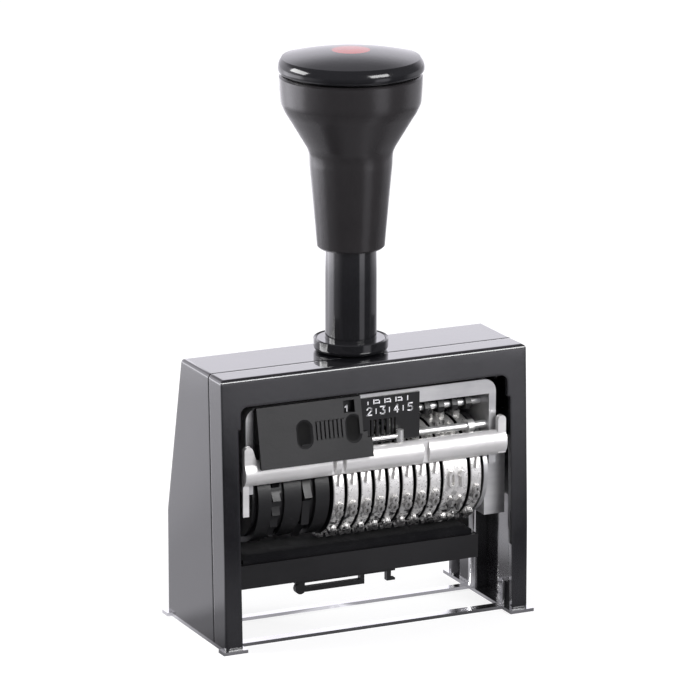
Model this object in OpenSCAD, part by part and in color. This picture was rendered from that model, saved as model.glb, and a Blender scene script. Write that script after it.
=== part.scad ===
// Self-inking numbering and dating machine: a carriage with ten printing
// wheels is pushed down through a slanted housing, while the ink tray
// under the wheels swings back out of the way.
// The print line is the origin's X axis, the front faces -Y, Z is up.

/* [Housing] */
// Width of the housing
body_w = 88; // [84:1:96]
// Height of the housing's top face
body_h = 73; // [70:0.5:78]
// Depth of the housing at its foot
body_d = 38.86; // [37:0.1:44]
// How far the front face leans back over its height
front_lean = 2.56; // [0:0.1:4]
// Depth of the flat top face
top_d = 25.3; // [24.5:0.1:27]
// Height at which the upright back starts to slant forward
knee_h = 25.25; // [24.8:0.05:30]
// Thickness of the housing's walls
wall = 1.6; // [1.2:0.1:1.8]
// Rounding of the housing's outer edges
edge_r = 1.1; // [0.4:0.1:1.5]
// Depth of the front frame, measured along its side
front_part_d = 7.6; // [5:0.1:9]
// Width of the groove where the two shells meet
groove_w = 0.5; // [0.2:0.1:1]
// Width of the front frame's posts beside its window
front_post = 4.7; // [4:0.1:5.2]
// Height of the front frame above its window
front_head = 7.6; // [6:0.1:8]
// Step of the window's narrow upper shoulders
shoulder_w = 0.8; // [0.3:0.1:1.2]
// Height of the window's narrow shoulders
shoulder_h = 5.9; // [3:0.1:8]
// Width of the rear shell's lip beside the back opening
back_lip = 2.7; // [1.4:0.1:4]

/* [Base frame] */
// Thickness of the bright sheet under the housing
sheet = 0.9; // [0.6:0.1:1]
// How far the feet reach past the housing
foot_out = 1.2; // [0.6:0.1:2]
// Width of the front rail
front_rail = 3; // [2:0.1:4]
// Setback of the front rail from the housing's front
rail_setback = 4; // [3:0.1:5]
// Distance from the wheel axle back to the rear rail
rear_rail_back = 6.3; // [5.9:0.1:6.8]
// Width of the rear rail
rear_rail = 2.5; // [1.5:0.1:2.8]

/* [Guide tube and collar] */
// Distance of the wheel axle and handle behind the housing's front
axis_back = 17.53; // [17.2:0.01:17.9]
// Outer radius of the fixed guide tube
tube_r = 6.8; // [6:0.1:7.2]
// Height of the guide tube above the housing
stem_h = 31; // [30:0.5:33]
// Radius of the collar round its foot
collar_r = 9.9; // [9:0.1:11]
// Height of the collar
collar_h = 3.3; // [2.5:0.1:3.6]
// Radius of the push rod inside the tube
rod_r = 4; // [3:0.1:4.5]

/* [Handle] */
// Height of the handle's lower rim above the housing
handle_gap = 27.8; // [27:0.1:29]
// Radius of the handle's neck at its lower rim
neck_r = 8.9; // [8.4:0.1:9.5]
// Radius of the neck below the cone
neck_top_r = 10.9; // [10:0.1:11.5]
// Largest radius of the palm knob
knob_r = 19.2; // [17:0.1:21]
// Height of the handle with its knob
handle_h = 52.6; // [51:0.1:55]
// Radius of the red inlay in the knob
inlay_r = 5; // [3:0.1:7]

/* [Printing wheels] */
// Depth of the wheel axle below the carriage frame's top
axle_drop = 26; // [25.6:0.1:26.2]
// Radius of the wheels' plain rim
rim_r = 13.9; // [13.5:0.1:14]
// Height of the raised figures
figure_h = 1.1; // [0.6:0.1:1.1]
// Radius of the wheel axle
axle_r = 2; // [1.5:0.1:2.5]
// Distance from one wheel to the next
wheel_pitch = 4; // [3.9:0.05:4]
// Gap between the rims of two wheels
wheel_gap = 0.7; // [0.3:0.05:0.8]
// Play between the last wheel and the right tray arm
row_play = 0.5; // [0.3:0.1:0.8]
// Number of serial number wheels
number_wheels = 6; // [6]
// Height of a figure
figure_tall = 4.4; // [3.6:0.1:4.8]
// Width of a figure
figure_wide = 2; // [1.6:0.1:2.2]
// Width of a figure's stroke
stroke_w = 0.62; // [0.4:0.02:0.7]

/* [Carriage] */
// Distance from the guide rods' middle to the carriage frame
rod_room = 3.4; // [3.3:0.1:3.6]
// Thickness of its side plates
plate_t = 2; // [1.5:0.1:2]
// Reach of the carriage frame in front of the axle
frame_ahead = 13.1; // [12.9:0.1:13.3]
// Distance from the housing's top to the carriage frame
head_room = 8.8; // [7:0.1:9]
// Height of the cross bridge
bridge_h = 4; // [3:0.1:4.2]
// Height of the front bar's middle above the axle
bar_up = 9.1; // [8.8:0.1:9.4]
// Height of the front bar's section
bar_h = 6.6; // [5.5:0.1:6.6]
// Radius of the guide rods at the sides
guide_r = 1.6; // [1.2:0.1:1.6]
// Distance from the housing's inner wall to the guide rods' middle
rod_inset = 2.8; // [2.7:0.1:2.9]
// Distance of the guide rods behind the axle
rods_back = 5.9; // [4.9:0.1:6.1]

/* [Repeat slider] */
// Play at the slider's left end
slider_play = 0.1; // [0.1:0.1:0.7]
// Length of the slider
slider_w = 29.7; // [28:0.1:30]
// Height of the slider's lower edge above the front bar's middle
slider_up = 1.5; // [1.3:0.1:2.2]
// Height of the slider
slider_h = 15.8; // [15.6:0.1:16.2]
// Lean of the slider's face over its height
slider_lean = 3.3; // [2.5:0.1:3.6]
// Distance from one setting to the next
step_x = 4.3; // [4:0.1:4.3]
// Number of settings
settings = 5; // [3:1:5]

/* [Ink tray] */
// Reach of the tray in front of the axle
tray_front = 10.1; // [9:0.1:10.3]
// Reach of the tray behind the axle
tray_back = 9.6; // [8.5:0.1:9.6]
// Depth of the tray's underside below the axle
tray_drop = 23.8; // [23.2:0.1:24]
// Height of the tray's walls
tray_h = 6.4; // [5.6:0.1:6.6]
// Thickness of the tray's walls
tray_wall = 1.2; // [0.8:0.1:1.5]
// Thickness of the steel tray arms
arm_t = 1.2; // [0.8:0.1:1.2]

/* [Clearances] */
// Radial clearance of a turning or sliding fit
fit = 0.05; // [0.02:0.01:0.08]
// Clearance between parts that pass each other
gap = 0.3; // [0.2:0.05:0.3]

/* [Hidden] */
$fn = 64;

eps = 0.01;
front_y = -body_d / 2;
back_y = body_d / 2;
top_front = front_y + front_lean;
top_back = top_front + top_d;
lean = front_lean / body_h;
back_slope = (back_y - top_back) / (body_h - knee_h);
inner_half = body_w / 2 - wall;
window_half = body_w / 2 - front_post;
window_top = body_h - front_head;
shoulder_z = window_top - shoulder_h;
back_half = inner_half - back_lip;
collar_top = body_h + collar_h;
tube_top = body_h + stem_h;
tube_flange = 1.5;
handle_bore = tube_r + fit;
handle_z = body_h + handle_gap;
knob_top = handle_z + handle_h;
rod_drop = 11.4;
rod_top = knob_top - rod_drop;

// The carriage hangs on the handle's axis and under the housing's top
axis_y = front_y + axis_back;
guide_x = inner_half - rod_inset;
guide_y = axis_y + rods_back;
frame_half = guide_x - rod_room;
plate_in = frame_half - plate_t;
frame_front = axis_y - frame_ahead;
frame_top = body_h - head_room;
bridge_z = frame_top - bridge_h;
axle_z = frame_top - axle_drop;
print_r = rim_r + figure_h;
pad_r = print_r + gap;
bar_z = axle_z + bar_up;
slider_x = -plate_in + slider_play;
slider_z = bar_z + slider_up;
slider_top = slider_z + slider_h;
tray_z = axle_z - tray_drop;
rim_z = tray_z + tray_h;
arm_x = frame_half + gap;
arm_out = arm_x + arm_t;
tray_x0 = -arm_x;
tray_x1 = plate_in - gap - arm_t;
wheel_count = number_wheels + 5;
wheels_x = tray_x1 - row_play - wheel_count * wheel_pitch;
rear_rail_y = axis_y + rear_rail_back;

// Outline of the housing seen from its side, as points in Y and Z, drawn in by inset
function side_outline(inset = 0, z0 = sheet) =
    let (f = inset * sqrt(1 + lean * lean), b = inset * sqrt(1 + back_slope * back_slope)) [
        [front_y + f + lean * z0, z0],
        [back_y - inset, z0],
        [back_y - inset, knee_h - (b - inset) / back_slope],
        [top_back + back_slope * inset - b, body_h - inset],
        [top_front - lean * inset + f, body_h - inset]
    ];

// Extrude a Y-Z outline along X between two X values
module across(x0, x1) {
    translate([x0, 0, 0]) rotate([90, 0, 90]) linear_extrude(x1 - x0) children();
}

// A rod along X
module rod_x(x0, x1, r) {
    translate([x0, 0, 0]) rotate([0, 90, 0]) cylinder(h = x1 - x0, r = r);
}

// A counter-clockwise outline grown by r, with true round corners
module grown(points, r) {
    n = len(points);
    polygon(points);
    for (i = [0:n - 1]) {
        p = points[i];
        q = points[(i + 1) % n];
        out = r * [q[1] - p[1], p[0] - q[0]] / norm(q - p);
        polygon([p, p + out, q + out, q]);
        translate(p) circle(r = r);
    }
}

// The housing's outer shape: its side outline, front outline and plan, each with round corners
module outer_shape() {
    half = body_w / 2 - edge_r;
    low = -body_h;
    far = 2 * body_d;
    intersection() {
        across(-body_w / 2, body_w / 2) grown(side_outline(edge_r, low), edge_r);
        translate([0, far, 0]) rotate([90, 0, 0]) linear_extrude(2 * far) grown([
            [-half, low], [half, low], [half, body_h - edge_r], [-half, body_h - edge_r]
        ], edge_r);
        translate([0, 0, sheet]) linear_extrude(body_h) grown([
            [-half, front_y + edge_r], [half, front_y + edge_r],
            [half, back_y - edge_r], [-half, back_y - edge_r]
        ], edge_r);
    }
}

// The inner space, open at the foot
module inner_space() {
    across(-inner_half, inner_half) polygon(side_outline(wall, -eps));
}

// Everything in front of the joint between the two shells
module front_zone(extra = 0) {
    across(-body_w, body_w) polygon([
        [front_y - body_d, -eps],
        [front_y + front_part_d + extra, -eps],
        [front_y + front_part_d + extra + lean * body_h, body_h + eps],
        [front_y - body_d, body_h + eps]
    ]);
}

window_r = 2;
shoulder_half = window_half - shoulder_w;

module window_outline() {
    translate([-window_half, 0]) square([2 * window_half, shoulder_z]);
    translate([-shoulder_half, 0]) square([2 * shoulder_half, window_top - window_r]);
    translate([-shoulder_half + window_r, 0])
        square([2 * (shoulder_half - window_r), window_top]);
    for (s = [-1, 1])
        translate([s * (shoulder_half - window_r), window_top - window_r])
            circle(r = window_r);
}

module front_window() {
    translate([0, front_y + wall + gap + front_lean, -eps]) rotate([90, 0, 0])
        linear_extrude(body_d) window_outline();
}

// Posts in the corners of the foot, which take the base screws
screw_r = 1.2;
screw_head_r = 2.1;
screw_len = 5;
post_r = 2.2;
post_h = 7;
post_x = inner_half - post_r + 0.8;
post_front_y = front_y + wall + post_r + 0.8;
post_back_y = back_y - wall - post_r + 0.6;

module posts(y) {
    for (s = [-1, 1]) translate([s * post_x, y, sheet]) cylinder(h = post_h, r = post_r);
}
module post_holes(y) {
    for (s = [-1, 1]) translate([s * post_x, y, 0]) cylinder(h = screw_len, r = screw_r);
}

module front_frame() color([0.08, 0.08, 0.09]) difference() {
    union() {
        difference() {
            intersection() {
                outer_shape();
                front_zone();
            }
            inner_space();
            front_window();
        }
        intersection() {
            posts(post_front_y);
            front_zone();
            outer_shape();
        }
    }
    post_holes(post_front_y);
}

module rear_shell() color([0.08, 0.08, 0.09]) difference() {
    union() {
        rear_walls();
        intersection() {
            posts(post_back_y);
            outer_shape();
        }
    }
    post_holes(post_back_y);
}

opening_over = 0.75;
module rear_walls() {
    difference() {
        outer_shape();
        inner_space();
        front_zone();
        // groove along the joint
        difference() {
            front_zone(groove_w);
            translate([-body_w / 2 + groove_w, -body_d, -1])
                cube([body_w - 2 * groove_w, 2 * body_d, body_h + 1 - groove_w]);
        }
        // opening through which the ink tray swings
        translate([-back_half, back_y - 3 * wall, -eps])
            cube([2 * back_half, 4 * wall, knee_h + opening_over + eps]);
        // seat of the guide tube
        translate([0, axis_y, body_h - 2 * wall]) cylinder(h = 4 * wall, r = tube_r);
    }
}

foot_len = 3.5;
rear_foot_out = 0.8;
side_rail_in = arm_out + 2 * gap;

module base_frame() color([0.78, 0.79, 0.8]) difference() {
    union() {
        // side rails with feet that reach past the housing
        for (s = [-1, 1]) {
            foot_x = s > 0 ? side_rail_in : -body_w / 2 - foot_out;
            rail_x = s > 0 ? side_rail_in : -body_w / 2;
            rail_w = body_w / 2 - side_rail_in;
            translate([foot_x, front_y - foot_out, 0])
                cube([rail_w + foot_out, foot_len, sheet]);
            translate([foot_x, back_y + rear_foot_out - foot_len, 0])
                cube([rail_w + foot_out, foot_len, sheet]);
            translate([rail_x, front_y, 0]) cube([rail_w, body_d, sheet]);
        }
        for (y = [[front_y + rail_setback, front_rail], [rear_rail_y, rear_rail]])
            translate([-body_w / 2, y[0], 0]) cube([body_w, y[1], sheet]);
    }
    for (y = [post_front_y, post_back_y]) screw_shapes(y);
}

// Countersunk screws that hold the housing's posts to the sheet
module screw_shapes(y) {
    for (s = [-1, 1]) translate([s * post_x, y, 0]) {
        cylinder(h = sheet, r1 = screw_head_r, r2 = screw_r);
        cylinder(h = screw_len, r = screw_r);
    }
}

module base_screws() color([0.7, 0.71, 0.72]) {
    screw_shapes(post_front_y);
    screw_shapes(post_back_y);
}

tube_flange_r = tube_r + 1.8;
module guide_tube() color([0.06, 0.06, 0.07]) difference() {
    union() {
        translate([0, axis_y, body_h - wall - tube_flange])
            cylinder(h = tube_flange, r = tube_flange_r);
        translate([0, axis_y, body_h - wall - tube_flange])
            cylinder(h = tube_top - body_h + wall + tube_flange, r = tube_r);
    }
    translate([0, axis_y, 0]) cylinder(h = tube_top + 1, r = rod_r + fit);
}

collar_round = 1.4;
module collar() color([0.06, 0.06, 0.07]) translate([0, axis_y, body_h]) rotate_extrude()
    difference() {
        union() {
            translate([tube_r + fit, 0])
                square([collar_r - tube_r - fit - collar_round, collar_h]);
            translate([tube_r + fit, collar_round])
                square([collar_r - tube_r - fit, collar_h - collar_round]);
            translate([collar_r - collar_round, collar_round]) circle(r = collar_round);
        }
        translate([collar_r - 0.5, collar_h]) circle(r = 0.5, $fn = 4);
    }

module guide_rod(s) color([0.8, 0.81, 0.82])
    translate([s * guide_x, guide_y, sheet])
        cylinder(h = body_h - wall - sheet, r = guide_r);

// Blocks at the housing's side walls that hold the feet of the guide rods
rod_block_out = 3.2;
rod_block_front = 2.4;
rod_block_clear = 2.03;
rod_block_drop = 1.2;
rod_block_y0 = guide_y - rod_block_front;
rod_block_y1 = post_back_y - post_r - rod_block_clear;
rod_block_top = knee_h - rod_block_drop;
module rod_blocks() color([0.1, 0.1, 0.11]) for (s = [-1, 1]) difference() {
    translate([s > 0 ? inner_half - rod_block_out : -inner_half, rod_block_y0, sheet])
        cube([rod_block_out, rod_block_y1 - rod_block_y0, rod_block_top - sheet]);
    translate([s * guide_x, guide_y, 0]) cylinder(h = body_h, r = guide_r + fit);
}

module guide_rod_left() guide_rod(-1);
module guide_rod_right() guide_rod(1);

// Return spring: one unbroken wire between the tube's end and the handle's roof
spring_wire = 1;
spring_turns = 9;
spring_rings = 8;
spring_sides = 6;
spring_r = rod_r + gap + spring_wire / 2 + 0.35;
spring_from = tube_top;
spring_to = rod_top;
spring_steps = spring_turns * spring_rings;
function spring_z(t) = spring_from + spring_wire + (spring_to - spring_from - 2 * spring_wire) * t;
function spring_point(t) = [
    spring_r * cos(360 * spring_turns * t),
    axis_y + spring_r * sin(360 * spring_turns * t),
    spring_z(t)
];
function helix() = [for (i = [0:spring_steps]) spring_point(i / spring_steps)];
function spring_route() = concat(
    [[spring_r, axis_y, spring_from]],
    helix(),
    [[spring_r, axis_y, spring_to]]
);
echo(spring_gap = (spring_to - spring_from - 2 * spring_wire) / spring_turns - spring_wire);

function unit(v) = v / norm(v);
function tangent(p, i) =
    i == 0 ? unit(p[1] - p[0]) :
    i == len(p) - 1 ? unit(p[i] - p[i - 1]) : unit(p[i + 1] - p[i - 1]);

// Sweep a round wire along a route; each ring is square to the route
module sweep(p, r, sides) {
    n = len(p);
    rings = [for (i = [0:n - 1])
        let (t = tangent(p, i), d = i == 0 || i == n - 1 ? [0, 0, 1] : t,
             o = unit([p[i][0], p[i][1] - axis_y, 0]),
             a = unit(o - d * (o * d)), b = cross(d, a))
        for (k = [0:sides - 1]) p[i] + r * (a * cos(360 * k / sides) + b * sin(360 * k / sides))];
    walls = [for (i = [0:n - 2], k = [0:sides - 1])
        let (a = i * sides + k, b = i * sides + (k + 1) % sides) each
            [[a, b, b + sides], [a, b + sides, a + sides]]];
    low = [for (k = [1:sides - 2]) [0, k + 1, k]];
    top0 = (n - 1) * sides;
    high = [for (k = [1:sides - 2]) [top0, top0 + k, top0 + k + 1]];
    polyhedron(rings, [for (f = concat(walls, low, high)) [f[0], f[2], f[1]]]);
}

module return_spring() color([0.6, 0.6, 0.62])
    sweep(spring_route(), spring_wire / 2, spring_sides);

plate_low = 12.2;
plate_bottom = axle_z - plate_low;
corner_r = 3.5;
frame_behind = 8.4;
front_step = 2.6;
left_step = 9;
flange_out = 4.1;
flange_t = 1.4;
frame_back = axis_y + frame_behind;

module carriage_frame() color([0.6, 0.61, 0.62]) difference() {
    union() {
        // bridge and side plates in one rounded arch
        translate([0, frame_front, 0]) rotate([-90, 0, 0])
            linear_extrude(frame_back - frame_front) mirror([0, 1]) difference() {
                union() {
                    translate([-frame_half, plate_bottom])
                        square([2 * frame_half, frame_top - corner_r - plate_bottom]);
                    translate([-frame_half + corner_r, bridge_z])
                        square([2 * (frame_half - corner_r), bridge_h]);
                    for (s = [-1, 1])
                        translate([s * (frame_half - corner_r), frame_top - corner_r])
                            circle(r = corner_r);
                }
                translate([-plate_in, plate_bottom - 1])
                    square([2 * plate_in, bridge_z - plate_bottom + 1]);
            }
        // boss that takes the push rod
        translate([0, axis_y, frame_top - eps]) cylinder(h = 2 + eps, r = rod_r + 3);
        // flange turned outward from the right plate's front edge
        translate([plate_in, frame_front + front_step, plate_bottom])
            cube([plate_t + flange_out, flange_t, bar_z - plate_bottom]);
    }
    // push rod bore
    translate([0, axis_y, 0]) cylinder(h = body_h, r = rod_r);
    // axle bore
    translate([0, axis_y, axle_z]) rod_x(-body_w / 2, body_w / 2, axle_r);
    // front corners of the plates below the front bar
    translate([-body_w / 2, frame_front - 1, plate_bottom - 1])
        cube([body_w, 1 + front_step, bar_z - bar_h / 2 - 2 - plate_bottom]);
    translate([-body_w / 2, frame_front - 1, plate_bottom - 1])
        cube([body_w / 2, 1 + left_step, bar_z - bar_h / 2 - 2 - plate_bottom]);
}

shoe_r = 2.6;
shoe_up = 12.3;
shoe_z = axle_z + shoe_up;
shoe_h = 8;
module guide_shoe(s) color([0.12, 0.12, 0.13]) difference() {
    union() {
        translate([s * guide_x, guide_y, shoe_z]) cylinder(h = shoe_h, r = shoe_r);
        translate([s > 0 ? frame_half : -guide_x, guide_y - shoe_r + 0.6, shoe_z])
            cube([guide_x - frame_half, 2 * shoe_r - 1.2, shoe_h]);
    }
    translate([s * guide_x, guide_y, 0]) cylinder(h = body_h, r = guide_r + fit);
}
module guide_shoe_left() guide_shoe(-1);
module guide_shoe_right() guide_shoe(1);

module push_rod() color([0.8, 0.81, 0.82])
    translate([0, axis_y, bridge_z]) cylinder(h = rod_top + 5 - bridge_z, r = rod_r);

nut_h = 3.5;
nut_r = 6.5;
module rod_nut() color([0.75, 0.76, 0.77]) difference() {
    translate([0, axis_y, nut_z]) cylinder(h = nut_h, r = nut_r, $fn = 6);
    translate([0, axis_y, rod_top]) cylinder(h = nut_h + 3, r = rod_r);
}

// Handle: a tapering neck, a cone and a satin drum under the glossy cap
neck_h = 25.1;
cone_h = 11.1;
cap_h = 6.1;
seat_gap = 0.4;
cone_z = handle_z + neck_h;
cone_top = cone_z + cone_h;
cone_r = 17.2;
cap_z = knob_top - cap_h;
drum_top = cap_z - seat_gap;
cap_seat_r = 16.4;
nut_z = rod_top + 1.4;
nut_room = 1.5;
nut_room_h = 5;
rim_chamfer = 0.5;

// A smooth curve through points, with extra points on each stretch
function curve_point(a, b, c, d, t) = 0.5 * (2 * b + (c - a) * t
    + (2 * a - 5 * b + 4 * c - d) * t * t + (3 * b - a - 3 * c + d) * t * t * t);
function curve(p, steps) = let (n = len(p)) concat([for (i = [0:n - 2], k = [0:steps - 1])
    curve_point(p[max(i - 1, 0)], p[i], p[i + 1], p[min(i + 2, n - 1)], k / steps)], [p[n - 1]]);
function handle_line() = curve([
    [neck_top_r - 0.05, cone_z - 3], [neck_top_r + 0.1, cone_z],
    [neck_top_r + 0.6, cone_z + 1.6], [neck_top_r + 1.5, cone_z + 3.2],
    [cone_r - 1, cone_top - 1.6], [cone_r, cone_top],
    [knob_r - 1.25, cone_top + 1.6], [knob_r - 0.8, cone_top + 3.2],
    [knob_r - 0.5, drum_top - 1.2]
], 3);

module handle_body() color([0.1, 0.1, 0.11]) translate([0, axis_y, 0]) difference() {
    rotate_extrude() polygon(concat(
        [[0, handle_z], [neck_r - rim_chamfer, handle_z], [neck_r, handle_z + rim_chamfer]],
        handle_line(),
        [[knob_r - 0.5, drum_top - 0.5], [knob_r - 1, drum_top], [cap_seat_r, drum_top],
            [cap_seat_r, cap_z], [0, cap_z]]
    ));
    translate([0, 0, handle_z - 1]) cylinder(h = rod_top - handle_z + 1, r = handle_bore);
    translate([0, 0, handle_z]) cylinder(h = body_h, r = rod_r);
    translate([0, 0, nut_z]) cylinder(h = nut_room_h, r = nut_r + nut_room);
}

function arc(cx, cz, r, a0, a1, n = 6) =
    [for (i = [0:n]) [cx + r * cos(a0 + (a1 - a0) * i / n), cz + r * sin(a0 + (a1 - a0) * i / n)]];

dome_r = 80;
cap_round = 3.4;
inlay_t = 1.2;

// Revolved profile under the crown's large round
module crowned(points) {
    translate([0, axis_y, 0]) rotate_extrude() intersection() {
        polygon(points);
        translate([0, knob_top - dome_r]) circle(r = dome_r, $fn = 180);
    }
}

module knob_cap() color([0.05, 0.05, 0.06]) difference() {
    crowned(concat(
        [[0, cap_z]],
        arc(knob_r - 1.3, cap_z + 1.3, 1.3, -90, 0, 5),
        arc(knob_r - cap_round, knob_top - 1.2 - cap_round, cap_round, 5, 62, 9),
        [[0, knob_top + 1]]
    ));
    translate([0, axis_y, cap_z - 1]) cylinder(h = 2.2, r = nut_r + nut_room);
    translate([0, axis_y, knob_top - inlay_t]) cylinder(h = 5, r = inlay_r);
}

module cap_inlay() color([0.75, 0.1, 0.08]) crowned([
    [0, knob_top - inlay_t], [inlay_r, knob_top - inlay_t],
    [inlay_r, knob_top + 1], [0, knob_top + 1]
]);

clip_t = 0.6;
clip_gap = 0.1;
clip_out = 1.6;
clip_slot = 1.6;
axle_end = 0.4;
clip_left = -arm_out - clip_gap - clip_t;
clip_right = frame_half + clip_gap;
module wheel_axle() color([0.75, 0.76, 0.77]) translate([0, axis_y, axle_z])
    rod_x(clip_left - axle_end, clip_right + clip_t + axle_end, axle_r);

// Open retaining rings outside the left tray arm and the right side plate
module axle_clips() color([0.7, 0.7, 0.71]) for (x = [clip_left, clip_right])
    translate([x, axis_y, axle_z]) difference() {
        rod_x(0, clip_t, axle_r + clip_out);
        rod_x(-1, clip_t + 1, axle_r);
        translate([-1, -clip_slot / 2, -axle_r - clip_out - 1])
            cube([clip_t + 2, clip_slot, axle_r + clip_out]);
    }

// Figures of the type, as strokes through hand-set points of a 1 by 1.8 field
FIGURES = [
    [[0, .3], [.3, 0], [.7, 0], [1, .3], [1, 1.5], [.7, 1.8], [.3, 1.8], [0, 1.5], [0, .3]],
    [[.15, 1.4], [.55, 1.8], [.55, 0]],
    [[0, 1.4], [.3, 1.8], [.75, 1.8], [1, 1.45], [1, 1.1], [0, 0], [1, 0]],
    [[0, 1.8], [1, 1.8], [.45, 1.1], [1, .75], [1, .3], [.7, 0], [.2, 0], [0, .25]],
    [[.75, 0], [.75, 1.8], [0, .55], [1, .55]],
    [[.95, 1.8], [.1, 1.8], [.05, 1], [.65, 1.1], [1, .75], [1, .35], [.7, 0], [0, .1]],
    [[.85, 1.8], [.3, 1.5], [0, .9], [0, .35], [.3, 0], [.7, 0], [1, .35], [1, .75], [.6, 1.05],
        [.1, .8]],
    [[0, 1.8], [1, 1.8], [.35, 0]],
    [[.5, 1], [.1, 1.3], [.1, 1.6], [.35, 1.8], [.65, 1.8], [.9, 1.6], [.9, 1.3], [.5, 1],
        [0, .7], [0, .3], [.3, 0], [.7, 0], [1, .3], [1, .7], [.5, 1]],
    [[.15, 0], [.7, .3], [1, .9], [1, 1.45], [.7, 1.8], [.3, 1.8], [0, 1.45], [0, 1.05], [.4, .75],
        [.9, 1]]
];

// One stroke between two points of the field
module stroke_line(a, b) {
    p = [(a[0] - 0.5) * (figure_wide - stroke_w), (a[1] / 1.8 - 0.5) * (figure_tall - stroke_w)];
    q = [(b[0] - 0.5) * (figure_wide - stroke_w), (b[1] / 1.8 - 0.5) * (figure_tall - stroke_w)];
    d = q - p;
    translate(p) rotate(atan2(d[1], d[0])) translate([-stroke_w / 2, -stroke_w / 2])
        square([norm(d) + stroke_w, stroke_w]);
}

module figure(n) {
    for (i = [0:len(FIGURES[n]) - 2]) stroke_line(FIGURES[n][i], FIGURES[n][i + 1]);
}

// A ring of mirrored figures; position 0 prints, at the bottom
module figure_ring(count, digits, spread) {
    for (i = [0:count - 1]) rotate([360 / count * i, 0, 0]) {
        value = i;
        parts = digits == 1 ? [value % 10] : [floor((value + 1) / 10), (value + 1) % 10];
        for (k = [0:digits - 1])
            translate([(k - (digits - 1) / 2) * -spread, 0, -rim_r + 0.5])
                mirror([0, 0, 1]) rotate([0, 0, 180]) linear_extrude(figure_h + 0.5)
                    mirror([1, 0]) figure(parts[k]);
    }
}

hub_r = 4.5;
hub_gap = 0.1;
recess_r = 12.4;
recess_d = 0.6;
rim_edge = 0.3;
module wheel(x, width, count, digits) color([0.78, 0.78, 0.76])
    translate([x + width / 2, axis_y, axle_z]) {
        w = width - wheel_gap;
        difference() {
            rotate([0, 90, 0]) rotate_extrude() polygon([
                [axle_r + fit, -(width - hub_gap) / 2], [hub_r, -(width - hub_gap) / 2],
                [hub_r, -w / 2 + recess_d], [recess_r, -w / 2 + recess_d],
                [recess_r, -w / 2], [rim_r - rim_edge, -w / 2], [rim_r, -w / 2 + rim_edge],
                [rim_r, w / 2 - rim_edge], [rim_r - rim_edge, w / 2],
                [recess_r, w / 2], [recess_r, w / 2 - recess_d],
                [hub_r, w / 2 - recess_d], [hub_r, (width - hub_gap) / 2],
                [axle_r + fit, (width - hub_gap) / 2]
            ]);
        }
        figure_ring(count, digits, figure_wide + 0.7);
    }

module number_wheel(i) wheel(wheels_x + i * wheel_pitch, wheel_pitch, 10, 1);
module number_wheel_1() number_wheel(0);
module number_wheel_2() number_wheel(1);
module number_wheel_3() number_wheel(2);
module number_wheel_4() number_wheel(3);
module number_wheel_5() number_wheel(4);
module number_wheel_6() number_wheel(5);
module day_wheel_tens() wheel(wheels_x + 6 * wheel_pitch, wheel_pitch, 10, 1);
module day_wheel_units() wheel(wheels_x + 7 * wheel_pitch, wheel_pitch, 10, 1);
module month_wheel() wheel(wheels_x + 8 * wheel_pitch, 2 * wheel_pitch, 12, 2);
module year_wheel() wheel(wheels_x + 10 * wheel_pitch, wheel_pitch, 10, 1);

// Stepped drum whose ratchet counts the repeats
drum_x0 = -plate_in + gap;
drum_x1 = wheels_x - 0.15;
drum_core = 12;
ratchet_teeth = 20;
step_teeth = 10;
tooth_h = 1.4;
// Discs of the drum: where each starts and ends along it, and how far it stays below the rims
DISCS = [[0.05, 0.22, 0.4], [0.4, 0.62, 1], [0.8, 0.98, 0.6]];
module ratchet(r, depth, teeth) {
    polygon([for (i = [0:teeth - 1]) each [
        [r * cos(360 * i / teeth), r * sin(360 * i / teeth)],
        [(r - depth) * cos(360 * (i + 0.15) / teeth), (r - depth) * sin(360 * (i + 0.15) / teeth)]
    ]]);
}
module cam_drum() color([0.09, 0.09, 0.1]) translate([0, axis_y, axle_z]) difference() {
    span = drum_x1 - drum_x0;
    union() {
        rod_x(drum_x0, drum_x1, drum_core);
        for (d = DISCS) rod_x(drum_x0 + d[0] * span, drum_x0 + d[1] * span, rim_r - d[2]);
        across(drum_x0 + 0.25 * span, drum_x0 + 0.35 * span)
            ratchet(rim_r - 0.9, tooth_h, ratchet_teeth);
        across(drum_x0 + 0.65 * span, drum_x0 + 0.75 * span)
            ratchet(rim_r - 0.3, tooth_h, step_teeth);
    }
    rod_x(drum_x0 - 1, drum_x1 + 1, axle_r + fit);
}

// Bright cross bar in front of the wheels, with a tongue at each end
bar_stand = 1.3;
bar_back = frame_front - bar_stand;
bar_t = 2.6;
tongue_w = 2.3;
tongue_up = 7.3;
tongue_down = 11.7;
tongue_t = 1.6;
tongue_foot = 3.6;
low_tongue_w = 1.7;
tongue_top = bar_z + tongue_up;
tongue_low = bar_z - tongue_down;
tongue_x = arm_out - tongue_w + 0.1;
bar_round = ((bar_h / 2) * (bar_h / 2) + (bar_t - 0.8) * (bar_t - 0.8)) / (2 * (bar_t - 0.8));
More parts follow.
